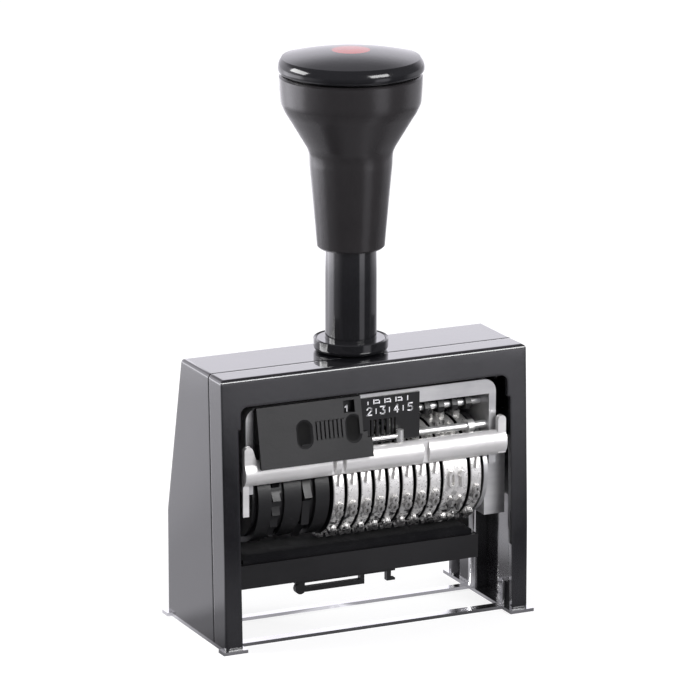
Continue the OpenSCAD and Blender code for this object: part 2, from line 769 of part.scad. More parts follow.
// Middle and width of each turned groove
bar_grooves = [
    [-frame_half + 23.7, 1.1], [-frame_half + 26.5, 1.1], [frame_half - 22, 1.7]
];
module bar_section() intersection() {
    translate([bar_back - bar_t, bar_z - bar_h / 2]) square([bar_t, bar_h]);
    translate([bar_back - bar_t + bar_round, bar_z]) circle(r = bar_round);
}
module front_bar() color([0.82, 0.82, 0.8]) difference() {
    union() {
        across(-tongue_x - tongue_w + eps, tongue_x + tongue_w - eps) bar_section();
        // right tongue, straight up from the bar's lower edge
        translate([tongue_x, bar_back - tongue_t, bar_z - bar_h / 2 + 0.4])
            cube([tongue_w, tongue_t, tongue_up + bar_h / 2 - 0.4 - tongue_w / 2]);
        translate([tongue_x + tongue_w / 2, bar_back, tongue_top - tongue_w / 2])
            rotate([90, 0, 0]) cylinder(h = tongue_t, r = tongue_w / 2);
        // left tongue, which widens down to the bar, and a narrow one below it
        translate([-tongue_x - tongue_w, bar_back, 0]) rotate([90, 0, 0])
            linear_extrude(tongue_t) polygon([
                [0, bar_z], [tongue_foot, bar_z], [tongue_foot, bar_z + bar_h / 2 - 0.6],
                [tongue_w, tongue_top - 0.6], [tongue_w - 0.6, tongue_top],
                [0.6, tongue_top], [0, tongue_top - 0.6]
            ]);
        translate([-tongue_x - tongue_w, bar_back - 0.4, tongue_low])
            cube([low_tongue_w, 0.8, bar_z - tongue_low]);
        for (s = [-1, 1]) {
            // foot that reaches back to the carriage's side plate
            x2 = s > 0 ? tongue_x : -frame_half;
            translate([x2, bar_back - eps, bar_z - bar_h / 2 + 0.6])
                cube([frame_half - tongue_x, frame_front - bar_back + eps, bar_h - 1.2]);
        }
    }
    // turned grooves
    for (g = bar_grooves)
        translate([g[0] - g[1] / 2, bar_back - bar_t - 1, bar_z - bar_h])
            cube([g[1], bar_t - 1 + 0.6, 2 * bar_h]);
}

// Black plate with the repeat scale, a slot for the slider and a small comb
scale_t = 0.8;
scale_y = frame_front - scale_t;
scale_len = 47.6;
scale_x0 = -plate_in;
scale_x1 = scale_x0 + scale_len;
scale_up = 12.8;
scale_drop = 0.8;
scale_z0 = axle_z + scale_up;
scale_z1 = frame_top - scale_drop;
comb_along = 33.2;
comb_x = scale_x0 + comb_along;
comb_w = 7.4;
comb_z = scale_z0 + 0.8;
comb_h = 5.4;
fins = 5;
travel = step_x * (settings - 1);
module scale_plate() color([0.1, 0.1, 0.11]) union() {
    difference() {
        translate([scale_x0, scale_y, scale_z0])
            cube([scale_x1 - scale_x0, scale_t, scale_z1 - scale_z0]);
        translate([comb_x, scale_y - 1, comb_z]) cube([comb_w, scale_t + 2, comb_h]);
        translate([slider_x + eye_x[0] - gap, scale_y - 1, tongue_z - gap])
            cube([eye_x[1] + eye_w - eye_x[0] + travel + 2 * gap, scale_t + 2,
                tongue_h + 2 * gap]);
    }
    for (i = [0:fins - 1])
        translate([comb_x + (i + 0.5) * comb_w / fins - 0.35, scale_y, comb_z - eps])
            cube([0.7, scale_t, comb_h + 2 * eps]);
}

rod_ahead = 10.9;
rod_up = 13.2;
rod_y = axis_y - rod_ahead;
sel_rod_z = axle_z + rod_up;
sel_rod_r = 1;
module selector_rod() color([0.82, 0.83, 0.83])
    translate([0, rod_y, sel_rod_z]) rod_x(-plate_in, plate_in, sel_rod_r);

collar_in = 5.6;
collar_x = plate_in - collar_in;
collar_w = 1.8;
module rod_collar() color([0.8, 0.8, 0.8]) translate([0, rod_y, sel_rod_z]) difference() {
    rod_x(collar_x, collar_x + collar_w, sel_rod_r + 0.7);
    rod_x(collar_x - 1, collar_x + collar_w + 1, sel_rod_r);
}

pawl_ahead = 7.1;
pawl_up = 18.8;
pawl_y = axis_y - pawl_ahead;
pawl_z = axle_z + pawl_up;
pawl_shaft_r = 0.9;
module pawl_shaft() color([0.7, 0.71, 0.72])
    translate([0, pawl_y, pawl_z]) rod_x(-plate_in, plate_in, pawl_shaft_r);

// Outline of a pawl, as shares of its length
pawl_len = 5.6;
pawl_w = 1.6;
PAWL = [
    [-0.39, 0], [-0.27, 0.3], [0.27, 0.34], [0.82, 0.11], [1, -0.46], [0.82, -0.5],
    [0.61, -0.18], [0.21, -0.34], [-0.25, -0.3]
];
module advance_pawls() color([0.14, 0.14, 0.15]) for (i = [0:wheel_count - 1])
    translate([wheels_x + (i + 0.5) * wheel_pitch - pawl_w / 2, pawl_y, pawl_z]) difference() {
        across(0, pawl_w) polygon(PAWL * pawl_len);
        rod_x(-1, pawl_w + 1, pawl_shaft_r + fit);
    }

// Comb of flat springs that rests close to the rims behind the print line
comb_behind = 6.9;
comb_y = axis_y + comb_behind;
comb_tip = axle_z + sqrt(pow(print_r + gap, 2) - pow(comb_y - axis_y, 2));
blade_w = 2.4;
blade_t = 0.5;
back_t = 1.4;
module detent_comb() color([0.6, 0.6, 0.62]) {
    translate([wheels_x, comb_y, bridge_z - blade_t - 0.1])
        cube([wheel_count * wheel_pitch, back_t, blade_t + 0.1]);
    for (i = [0:wheel_count - 1])
        translate([wheels_x + (i + 0.5) * wheel_pitch - blade_w / 2, comb_y, 0])
            across(0, blade_w) polygon([
                [0, bridge_z - blade_t], [0, comb_tip + back_t], [blade_t, comb_tip],
                [2 * blade_t, comb_tip], [blade_t + 0.1, comb_tip + back_t],
                [blade_t + 0.1, bridge_z - blade_t]
            ]);
}

// Repeat slider: a leaning cover with scoops, a ribbed grip and a window
slider_t = 1;
slider_front = scale_y - gap - slider_t - slider_lean;
function slider_y(z) = slider_front + slider_lean * (z - slider_z) / slider_h;
slider_tilt = atan(slider_lean / slider_h);
scoop_z = slider_z + 8.4;
scoop_r = 4;
scoop_deep = 0.7;
scoop_h = 3;
scoops = [13, 27];
grip_x = 20.6;
grip_w = 8.4;
grip_h = 4.6;
grip_ribs = 7;
slot_x = 24.6;
slot_w = 3.2;
slot_z = [slider_z + 11.9, slider_z + 15.1];
ear_w = 2.4;
ear_h = [5, 6.6];
cheek_z = slider_z + 6.2;
eye_x = [2, 12];
eye_w = 3;
eye_r = 1.8;
tongue_z = sel_rod_z + 0.9;
tongue_h = 1.7;

// A leaning slab between two heights, out in front of and back behind the slider's face
module slider_face(x0, x1, z0, z1, out, back) {
    across(x0, x1) polygon([
        [slider_y(z0) - out, z0], [slider_y(z0) + back, z0],
        [slider_y(z1) + back, z1], [slider_y(z1) - out, z1]
    ]);
}

module slider_slab() slider_face(0, slider_w, slider_z, slider_top, 0, slider_t);

// A finger scoop: a shallow upright hollow with round ends
module scoop(x) {
    translate([x, slider_y(scoop_z) + scoop_deep - scoop_r, scoop_z]) rotate([-slider_tilt, 0, 0]) {
        cylinder(h = scoop_h, r = scoop_r, center = true);
        for (s = [-1, 1]) translate([0, 0, s * scoop_h / 2]) sphere(r = scoop_r);
    }
}

module repeat_slider() color([0.1, 0.1, 0.11]) translate([slider_x, 0, 0]) difference() {
    union() {
        difference() {
            union() {
                slider_slab();
                slider_face(slider_w - eps, slider_w + ear_w / 2, slider_z, slider_z + ear_h[1],
                    0, slider_t);
                slider_face(slider_w - eps, slider_w + ear_w, slider_z, slider_z + ear_h[0],
                    0, slider_t);
            }
            for (x = scoops) scoop(x);
            slider_face(slot_x, slot_x + slot_w, slot_z[0], slot_z[1], 1, slider_t + 1);
        }
        // cheeks above the front bar
        for (x = [0, slider_w - slider_t]) across(x, x + slider_t) polygon([
            [slider_y(cheek_z), cheek_z], [scale_y - gap, cheek_z],
            [scale_y - gap, slider_top], [slider_y(slider_top), slider_top]
        ]);
        // grip with upright ribs
        for (i = [0:grip_ribs - 1])
            slider_face(grip_x - grip_w / 2 + i * grip_w / grip_ribs,
                grip_x - grip_w / 2 + (i + 0.6) * grip_w / grip_ribs,
                scoop_z - grip_h / 2, scoop_z + grip_h / 2, 0.5, 0.5);
        // tongues through the scale plate's slot, with eyes round the rod
        for (x = eye_x) {
            translate([x, slider_y(tongue_z) + slider_t / 2, tongue_z])
                cube([eye_w, rod_y - slider_y(tongue_z) - slider_t / 2, tongue_h]);
            translate([0, rod_y, sel_rod_z]) rod_x(x, x + eye_w, eye_r);
        }
    }
    translate([0, rod_y, sel_rod_z]) rod_x(-1, slider_w + 1, sel_rod_r + fit);
}

peg_along = 41.2;
peg_x = scale_x0 + peg_along;
peg_r = 1;
peg_h = 3.2;
peg_y = scale_y - gap - peg_r;
wire_r = 0.55;
wire_z = bar_z + bar_h / 2 + gap + 1.6;
wire_x = slider_x + slider_w - 3;
module pointer_wire() color([0.82, 0.83, 0.83]) difference() {
    union() {
        translate([peg_x, peg_y, bar_z + bar_h / 2 + gap]) cylinder(h = peg_h, r = peg_r);
        translate([0, peg_y, wire_z]) rod_x(wire_x, peg_x, wire_r);
        translate([wire_x, peg_y, wire_z]) rotate([90, 0, 0])
            cylinder(h = peg_y - slider_y(wire_z), r = wire_r);
    }
    translate([slider_x, 0, 0]) slider_slab();
    translate([slider_x, 0, 0]) slider_face(0, slider_w, slider_z, slider_top, slider_t, 0);
}

tray_y0 = axis_y - tray_front;
tray_y1 = axis_y + tray_back;
tray_len = tray_x1 - tray_x0;
tray_w = tray_y1 - tray_y0;
module ink_tray() color([0.09, 0.09, 0.1]) difference() {
    translate([tray_x0, tray_y0, tray_z]) cube([tray_len, tray_w, rim_z - tray_z]);
    translate([tray_x0 + tray_wall, tray_y0 + tray_wall, tray_z + tray_wall])
        cube([tray_len - 2 * tray_wall, tray_w - 2 * tray_wall, rim_z]);
}

pad_top = axle_z - pad_r;
pad_in = tray_wall + 0.1;
module ink_pad() color([0.05, 0.05, 0.08])
    translate([tray_x0 + pad_in, tray_y0 + pad_in, tray_z + tray_wall])
        cube([tray_len - 2 * pad_in, tray_w - 2 * pad_in, pad_top - tray_z - tray_wall]);

// Steel arms that hang the tray on the axle: the left one outside its side plate,
// the right one between the wheels and its side plate, with a round disc
arm_boss = 2.2;
arm_foot_in = 1.5;
arm_foot_back = 5.5;
arm_foot_z = 1;
arm_foot_h = 4.4;
arm_hole = 3;
disc_r = 13.4;
module arm_outline(r) difference() {
    hull() {
        translate([axis_y, axle_z]) circle(r = r, $fn = 48);
        translate([tray_y0 + arm_foot_back, tray_z + arm_foot_z])
            square([tray_w - arm_foot_back - arm_foot_in, arm_foot_h]);
    }
    translate([axis_y, axle_z]) circle(r = axle_r + fit);
    translate([axis_y, (axle_z + rim_z) / 2 - 1]) circle(r = arm_hole);
}
module tray_arm_left() color([0.78, 0.79, 0.8])
    across(-arm_out, -arm_x) arm_outline(axle_r + arm_boss);
module tray_arm_right() color([0.78, 0.79, 0.8]) across(tray_x1, tray_x1 + arm_t) {
    arm_outline(axle_r + arm_boss);
    difference() {
        translate([axis_y, axle_z]) circle(r = disc_r);
        translate([axis_y, axle_z]) circle(r = axle_r + fit);
        translate([axis_y, (axle_z + rim_z) / 2 - 1]) circle(r = arm_hole);
    }
}

// Sliding catch under the tray's front edge: a bar with a round thumb piece and a hook
catch_t = 0.6;
catch_d = 2;
catch_z = tray_z - 0.1;
catch_in = 16;
catch_x = tray_x0 + catch_in;
catch_w = 29;
catch_y = tray_y0 + 0.6;
bar_low = 3.1;
catch_bar_h = 1.3;
catch_bar_w = 20;
thumb_r = 1.5;
thumb_down = 2.1;
lug_t = 1.2;
lug_d = 1.6;
hook_w = 2.4;
hook_low = 3.2;
module pad_catch() color([0.1, 0.1, 0.11]) translate([catch_x, catch_y, catch_z]) {
    translate([0, 0, -catch_t]) cube([catch_w, catch_d, catch_t]);
    for (x = [thumb_r, catch_bar_w - lug_t])
        translate([x, 0, -bar_low]) cube([lug_t, lug_d, bar_low]);
    translate([thumb_r, 0, -bar_low]) cube([catch_bar_w - thumb_r, lug_d, catch_bar_h]);
    translate([thumb_r, 0, -thumb_down]) rotate([-90, 0, 0])
        cylinder(h = lug_d, r = thumb_r);
    translate([catch_w - hook_w, 0, -hook_low]) cube([hook_w / 2, lug_d, hook_low]);
    translate([catch_w - hook_w, 0, -hook_low]) cube([hook_w, lug_d, catch_t]);
}

front_frame();
rear_shell();
base_frame();
base_screws();
guide_tube();
collar();
guide_rod_left();
guide_rod_right();
rod_blocks();
return_spring();
carriage_frame();
guide_shoe_left();
guide_shoe_right();
push_rod();
rod_nut();
handle_body();
knob_cap();
cap_inlay();
wheel_axle();
axle_clips();
front_bar();
scale_plate();
selector_rod();
rod_collar();
pawl_shaft();
advance_pawls();
detent_comb();
repeat_slider();
pointer_wire();
ink_tray();
ink_pad();
tray_arm_left();
tray_arm_right();
pad_catch();
cam_drum();
number_wheel_1();
number_wheel_2();
number_wheel_3();
number_wheel_4();
number_wheel_5();
number_wheel_6();
day_wheel_tens();
day_wheel_units();
month_wheel();
year_wheel();
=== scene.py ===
"""Looks of the numbering machine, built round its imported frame."""

import math

import bmesh
import bpy
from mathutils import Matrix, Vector

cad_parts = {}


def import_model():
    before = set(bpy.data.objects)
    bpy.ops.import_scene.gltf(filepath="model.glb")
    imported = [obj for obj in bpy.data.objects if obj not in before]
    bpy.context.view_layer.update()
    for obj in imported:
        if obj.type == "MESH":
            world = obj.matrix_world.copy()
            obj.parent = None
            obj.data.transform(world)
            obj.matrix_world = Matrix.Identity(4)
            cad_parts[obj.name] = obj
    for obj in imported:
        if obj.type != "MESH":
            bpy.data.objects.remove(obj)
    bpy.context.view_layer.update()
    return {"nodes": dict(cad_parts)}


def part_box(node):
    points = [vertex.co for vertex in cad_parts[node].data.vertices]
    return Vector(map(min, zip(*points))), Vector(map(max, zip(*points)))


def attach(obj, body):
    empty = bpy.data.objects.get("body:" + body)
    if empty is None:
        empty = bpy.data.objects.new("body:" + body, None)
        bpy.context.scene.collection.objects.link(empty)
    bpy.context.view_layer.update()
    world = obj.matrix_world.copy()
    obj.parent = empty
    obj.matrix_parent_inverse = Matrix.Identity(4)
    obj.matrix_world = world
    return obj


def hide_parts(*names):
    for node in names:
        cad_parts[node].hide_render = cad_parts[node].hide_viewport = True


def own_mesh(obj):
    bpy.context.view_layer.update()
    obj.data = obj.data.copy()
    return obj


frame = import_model()
nodes = frame["nodes"]

# metres to a millimetre; the other lengths up here are in millimetres
MM = 0.001

# the wheels' axle, the distance from one wheel to the next, half of the gap between two wheels,
# and the left end of their row
AXLE = Vector((0, -1.9, 38.2))
PITCH = 4.0
HALF_GAP = 0.05
ROW_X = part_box("number_wheel_1")[0].x / MM - HALF_GAP
# pitches from the row's left end to the middle of the double-width month wheel, and how far from
# there the painted shade of the gaps between wheels sets in again
MONTH_MIDDLE, MONTH_CLEAR = 9.0, (0.2, 0.4)

# radii on a wheel: where the painted shade in the hollows below the type starts to fade, where the
# bright type is full, and the figures' faces
HOLLOW_SHADE_R, TYPE_R, FACE_R = 12.4, 13.5, 14.55
# the ink on the faces fades in between these distances from FACE_R
FACE_FADE = (-0.25, 0.2)
# heights over the axle where painted shade towards the bottom sets in and where it is full; it
# deepens the inked faces and the dark blotches
LOW_SHADE_TOP, LOW_SHADE_FULL = 1.0, -9.0
# half of the painted shade of a gap between two wheels, in pitches, where its edge starts and ends
GAP_SHADE_EDGE = (0.095, 0.14)

# how far the slider's face leans back for each unit of height, and the depths behind the face over
# which a scoop darkens with painted shade
SLIDER_LEAN = 3.3 / 15.8
SCOOP_SHADE = (0.08, 0.45)

# in metres: the full height of most materials' relief, and the radius of the rounds that the black
# enamel's sharp edges are shaded as
RELIEF = 0.0002
ENAMEL_EDGE, EDGE_SAMPLES = 0.0009, 8

# edges flatter than these angles shade smooth, on the CAD pieces and on the pieces made here
CAD_ANGLE, OWN_ANGLE = 28, 35
# points nearer than this, in metres, are one
SAME_POINT = 1e-6
# how strongly the larger faces at a point set its shading, out of 100
AREA_WEIGHT = 100


# ---------------------------------------------------------------- materials


def rgb(r, g, b):
    return (r, g, b, 1.0)


class Nodes:
    """A node tree, with short calls for its nodes and links."""

    def __init__(self, tree):
        self.tree = tree

    def add(self, kind, inputs=None, **settings):
        node = self.tree.nodes.new("ShaderNode" + kind)
        for key, value in settings.items():
            setattr(node, key, value)
        for key, value in (inputs or {}).items():
            self.plug(value, node.inputs[key])
        return node

    def plug(self, value, socket):
        """Links another node's output to a socket, or sets a plain value on it."""
        if isinstance(value, bpy.types.NodeSocket):
            self.tree.links.new(value, socket)
        else:
            socket.default_value = value

    def math(self, operation, a, b=0.0, clamp=False):
        return self.add("Math", {0: a, 1: b}, operation=operation, use_clamp=clamp).outputs[0]

    def times(self, a, b):
        return self.math("MULTIPLY", a, b)

    def plus(self, a, b):
        return self.math("ADD", a, b)

    def span(self, value, low, high, out_low=0.0, out_high=1.0):
        """Goes smoothly from out_low to out_high while value goes from low to high."""
        ends = {"From Min": low, "From Max": high, "To Min": out_low, "To Max": out_high}
        node = self.add("MapRange", {"Value": value, **ends}, interpolation_type="SMOOTHSTEP")
        return node.outputs["Result"]

    def mix(self, share, a, b):
        """A colour between a and b."""
        return self.add("Mix", {0: share, 6: a, 7: b}, data_type="RGBA").outputs[2]

    def blend(self, share, a, b):
        """A number between a and b."""
        return self.add("Mix", {0: share, 2: a, 3: b}, data_type="FLOAT").outputs[0]


class Finish(Nodes):
    """A principled material whose patterns follow the object's own coordinates."""

    def __init__(self, name, **values):
        self.material = bpy.data.materials.new(name)
        self.material.use_nodes = True
        super().__init__(self.material.node_tree)
        self.shader = self.tree.nodes["Principled BSDF"]
        self.set_sockets(values)
        self.place = self.add("TexCoord").outputs["Object"]

    def set_sockets(self, values):
        for key, value in values.items():
            self.plug(value, self.shader.inputs[key.replace("_", " ")])

    def stretched(self, scale):
        return self.add("Mapping", {"Vector": self.place, "Scale": scale}).outputs["Vector"]

    def noise(self, scale, detail, roughness, vector=None, offset=0.0):
        inputs = {
            "Vector": vector or self.place,
            "Scale": scale,
            "Detail": detail,
            "Roughness": roughness,
            "W": offset,
        }
        return self.add("TexNoise", inputs, noise_dimensions="4D").outputs["Fac"]

    def bump(self, height, strength, distance=RELIEF, edge=0.0):
        """Surface relief; with edge, sharp edges also shade as rounds of that radius."""
        node = self.add("Bump", {"Height": height, "Strength": strength, "Distance": distance})
        if edge:
            round_edge = self.add("Bevel", {"Radius": edge}, samples=EDGE_SAMPLES)
            self.plug(round_edge.outputs[0], node.inputs["Normal"])
        return node.outputs["Normal"]

    def done(self, tone, rough, normal):
        self.set_sockets({"Base Color": tone, "Roughness": rough, "Normal": normal})
        return self.material


def enamel():
    """Deep black enamel under a clear coat, with faint orange peel and handling marks."""
    g = Finish("black_enamel", IOR=1.5, Coat_Weight=1.0, Coat_Roughness=0.035, Coat_IOR=1.5)
    marks = g.noise(55, 5, 0.62)
    peel = g.noise(620, 2, 0.5)
    hair = g.noise(240, 4, 0.7, g.stretched((1.0, 1.0, 0.05)), 3.0)
    tone = g.mix(g.span(marks, 0.35, 0.7), rgb(0.006, 0.006, 0.0075), rgb(0.011, 0.011, 0.013))
    rough = g.plus(g.span(marks, 0.3, 0.75, 0.1, 0.17), g.span(hair, 0.55, 0.8, 0.0, 0.05))
    return g.done(tone, rough, g.bump(peel, 0.06, 0.0003, ENAMEL_EDGE))


def gloss(name, low, high, coat=0.0):
    """Glossy moulded plastic, slightly uneven in tone and sheen."""
    g = Finish(name, IOR=1.5, Coat_Weight=coat, Coat_Roughness=0.04)
    cloud = g.noise(90, 4, 0.6)
    skin = g.noise(900, 2, 0.5)
    rough = g.span(cloud, 0.3, 0.7, 0.09, 0.15)
    return g.done(g.mix(cloud, low, high), rough, g.bump(skin, 0.05))


def satin(name, low, high, rough, grain=1500, depth=0.12):
    """Satin moulded plastic or paint with a fine grain; rough holds its two ends."""
    g = Finish(name, IOR=1.48)
    cloud = g.noise(70, 4, 0.6)
    fine = g.noise(grain, 3, 0.6)
    tone = g.mix(g.plus(g.times(cloud, 0.7), g.times(fine, 0.3)), low, high)
    return g.done(tone, g.span(cloud, 0.3, 0.7, *rough), g.bump(fine, depth))


def metal(name, low, high, rough, grain=(1, 1, 1), scale=600, depth=0.1, share=1.0):
    """Metal with brushed grain along the axis whose scale is smallest, and dull patches.

    rough holds the two ends of its roughness, and share is how metallic it is.
    """
    g = Finish(name, Metallic=share)
    cloud = g.noise(60, 4, 0.65)
    lines = g.noise(scale, 4, 0.7, g.stretched(grain), 1.0)
    tone = g.mix(g.span(g.plus(g.times(cloud, 0.5), g.times(lines, 0.5)), 0.3, 0.7), low, high)
    dull = g.plus(g.span(cloud, 0.3, 0.7, *rough), g.span(lines, 0.3, 0.8, -0.04, 0.06))
    return g.done(tone, dull, g.bump(lines, depth))


def wheel_metal(name):
    """Cast type metal: bright rims, with painted shade in the gaps between them, in the hollows
    below the type and towards the bottom, where it deepens the inked faces and dark blotches.
    """
    g = Finish(name, Metallic=0.7)
    from_axle = g.add("VectorMath", {0: g.place, 1: tuple(-AXLE * MM)}, operation="ADD").outputs[0]
    flat = g.add("VectorMath", {0: from_axle, 1: (0, 1, 1)}, operation="MULTIPLY").outputs[0]
    radius = g.add("VectorMath", {0: flat}, operation="LENGTH").outputs["Value"]
    split = g.add("SeparateXYZ", {0: from_axle}).outputs
    blotch = g.noise(620, 4, 0.65)
    fine = g.noise(1600, 3, 0.6, offset=2.0)

    # pitches along the row, and from there to the nearest line between two wheels
    along = g.math("DIVIDE", g.math("SUBTRACT", split["X"], ROW_X * MM), PITCH * MM)
    nearest = g.math("ABSOLUTE", g.math("SUBTRACT", along, g.math("ROUND", along)))
    off_month = g.math("ABSOLUTE", g.math("SUBTRACT", along, MONTH_MIDDLE))
    # painted shade that widens the dark gaps between wheels, except across the middle of the month
    # wheel
    gap_shade = g.times(g.span(nearest, *GAP_SHADE_EDGE, 1, 0), g.span(off_month, *MONTH_CLEAR))

    # painted shade towards the bottom of the wheels
    low = g.span(split["Z"], LOW_SHADE_TOP * MM, LOW_SHADE_FULL * MM)
    face = g.span(radius, (FACE_R + FACE_FADE[0]) * MM, (FACE_R + FACE_FADE[1]) * MM)
    # the faces' ink, made deeper towards the bottom by the painted shade
    inked = g.times(face, g.plus(g.times(low, 0.6), 0.2))
    # dark blotches, faded in towards the bottom with the painted shade
    low_blotch = g.times(low, g.span(blotch, 0.46, 0.6))
    # painted shade in the hollows below the type, fading out towards the bright type
    body = g.span(radius, HOLLOW_SHADE_R * MM, TYPE_R * MM, 1, 0)
    dark = g.math("MAXIMUM", g.math("MAXIMUM", inked, low_blotch), gap_shade)
    dark = g.math("MAXIMUM", dark, body, clamp=True)

    bright = g.mix(g.span(fine, 0.35, 0.7), rgb(0.86, 0.85, 0.83), rgb(0.97, 0.96, 0.94))
    tone = g.mix(dark, bright, rgb(0.014, 0.014, 0.016))
    rough = g.plus(g.span(fine, 0.3, 0.7, 0.26, 0.36), g.times(dark, 0.25))
    return g.done(tone, rough, g.bump(blotch, 0.22))


def slider_black():
    """The slider's satin black, with painted shade in its scoops and slot."""
    g = Finish("slider_black", IOR=1.48)
    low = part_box("repeat_slider")[0]
    cloud = g.noise(70, 4, 0.6)
    fine = g.noise(1500, 3, 0.6)
    split = g.add("SeparateXYZ", {0: g.place}).outputs
    face = g.times(g.math("SUBTRACT", split["Z"], low.z), SLIDER_LEAN)
    depth = g.math("SUBTRACT", g.math("SUBTRACT", split["Y"], low.y), face)
    # painted shade: points that lie deeper behind the leaning face turn darker and rougher
    hollow_shade = g.span(depth, SCOOP_SHADE[0] * MM, SCOOP_SHADE[1] * MM)
    tone = g.mix(cloud, rgb(0.005, 0.005, 0.0055), rgb(0.014, 0.0135, 0.015))
    tone = g.mix(hollow_shade, tone, rgb(0.001, 0.001, 0.001))
    rough = g.math("ADD", g.span(cloud, 0.3, 0.7, 0.34, 0.46), g.times(hollow_shade, 0.5), clamp=True)
    return g.done(tone, rough, g.bump(fine, 0.12))


def felt():
    """Ink-soaked felt: matt fibres with a faint blue-black sheen."""
    g = Finish("ink_felt", Sheen_Weight=0.04, Sheen_Roughness=0.5, IOR=1.3)
    fibre = g.noise(2600, 5, 0.75)
    pool = g.noise(120, 4, 0.6, offset=5.0)
    tone = g.mix(fibre, rgb(0.001, 0.001, 0.0015), rgb(0.005, 0.005, 0.007))
    return g.done(tone, g.span(pool, 0.4, 0.65, 0.95, 0.7), g.bump(fibre, 0.6, 0.0003))


def paint():
    """White marking paint, slightly worn."""
    g = Finish("scale_paint", IOR=1.45)
    wear = g.noise(900, 4, 0.6)
    tone = g.mix(g.span(wear, 0.3, 0.7), rgb(0.7, 0.7, 0.72), rgb(0.9, 0.9, 0.92))
    return g.done(tone, g.span(wear, 0.3, 0.7, 0.4, 0.6), g.bump(wear, 0.1, 0.0001))


BLACK = (rgb(0.006, 0.006, 0.007), rgb(0.012, 0.012, 0.014))
ENAMEL = enamel()
GLOSS = gloss("black_gloss", *BLACK)
STEM = gloss("stem_gloss", *BLACK, coat=0.8)
RED = gloss("red_inlay", rgb(0.34, 0.02, 0.014), rgb(0.5, 0.045, 0.035))
HANDLE = satin(
    "black_satin", rgb(0.017, 0.0155, 0.0165), rgb(0.027, 0.025, 0.0265), (0.2, 0.27), 1400, 0.1
)
SATIN = satin("black_part", rgb(0.004, 0.004, 0.0045), rgb(0.011, 0.011, 0.012), (0.34, 0.46))
TRAY = satin("tray_black", rgb(0.005, 0.005, 0.0055), rgb(0.012, 0.0115, 0.013), (0.3, 0.42), 900)
SHEET = metal(
    "bright_sheet", rgb(0.74, 0.74, 0.75), rgb(0.86, 0.86, 0.87), (0.12, 0.24),
    grain=(0.08, 1, 1), scale=500, depth=0.06,
)
ROD = metal(
    "rod_steel", rgb(0.72, 0.72, 0.72), rgb(0.88, 0.88, 0.88), (0.12, 0.22),
    grain=(1, 1, 0.1), scale=700, depth=0.05,
)
CROSS_ROD = metal(
    "cross_rod", rgb(0.86, 0.86, 0.85), rgb(0.96, 0.96, 0.95), (0.26, 0.36),
    grain=(0.1, 1, 1), scale=700, depth=0.05, share=0.8,
)
BAR = metal(
    "bar_steel", rgb(0.8, 0.79, 0.78), rgb(0.98, 0.97, 0.96), (0.3, 0.46),
    grain=(0.1, 1, 1), scale=420, depth=0.3, share=0.7,
)
PLATE = metal(
    "carriage_steel", rgb(0.6, 0.6, 0.61), rgb(0.78, 0.78, 0.78), (0.36, 0.48),
    grain=(0.12, 1, 1), scale=420, depth=0.12, share=0.85,
)
SPRING = metal("spring_steel", rgb(0.45, 0.45, 0.46), rgb(0.62, 0.62, 0.62), (0.24, 0.38))
TYPE = wheel_metal("type_metal")
SLIDER = slider_black()
FELT = felt()
PAINT = paint()

WHEEL_WORDS = ("number_wheel", "day_wheel", "month_wheel", "year_wheel")
FINISH = {
    ENAMEL: ["front_frame", "rear_shell", "rod_blocks"],
    GLOSS: ["knob_cap"],
    STEM: ["guide_tube", "collar"],
    HANDLE: ["handle_body"],
    RED: ["cap_inlay"],
    SHEET: ["base_frame", "base_screws"],
    ROD: ["guide_rod_left", "guide_rod_right", "push_rod", "rod_nut"],
    CROSS_ROD: [
        "selector_rod", "rod_collar", "pawl_shaft", "pointer_wire", "wheel_axle", "axle_clips",
    ],
    SPRING: ["return_spring", "detent_comb"],
    BAR: ["front_bar"],
    PLATE: ["carriage_frame", "tray_arm_left", "tray_arm_right"],
    SATIN: [
        "guide_shoe_left", "guide_shoe_right", "scale_plate", "advance_pawls", "cam_drum",
        "pad_catch",
    ],
    SLIDER: ["repeat_slider"],
    TRAY: ["ink_tray"],
    FELT: ["ink_pad"],
    TYPE: [name for name in nodes if name.startswith(WHEEL_WORDS)],
}


def soften(piece, angle):
    """Shades smooth across edges flatter than angle, and keeps large flats flat."""
    piece.data.shade_smooth()
    weld = piece.modifiers.new("weld", "WELD")
    weld.merge_threshold = SAME_POINT
    split = piece.modifiers.new("split", "EDGE_SPLIT")
    split.split_angle = math.radians(angle)
    split.use_edge_sharp = False
    flat = piece.modifiers.new("flat", "WEIGHTED_NORMAL")
    flat.mode = "FACE_AREA"
    flat.weight = AREA_WEIGHT


for finish, names in FINISH.items():
    for name in names:
        piece = nodes[name]
        piece.data.materials.clear()
        piece.data.materials.append(finish)
        soften(piece, CAD_ANGLE)


# ------------------------------------------------------------- added pieces


def make(name, body, finish, build):
    """A new piece from a function that fills a bmesh in millimetres."""
    mesh = bpy.data.meshes.new(name)
    bm = bmesh.new()
    build(bm)
    bmesh.ops.recalc_face_normals(bm, faces=bm.faces)
    bmesh.ops.scale(bm, vec=(MM, MM, MM), verts=bm.verts)
    bm.to_mesh(mesh)
    bm.free()
    mesh.materials.append(finish)
    piece = bpy.data.objects.new(name, mesh)
    bpy.context.scene.collection.objects.link(piece)
    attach(piece, body)
    soften(piece, OWN_ANGLE)
    return piece


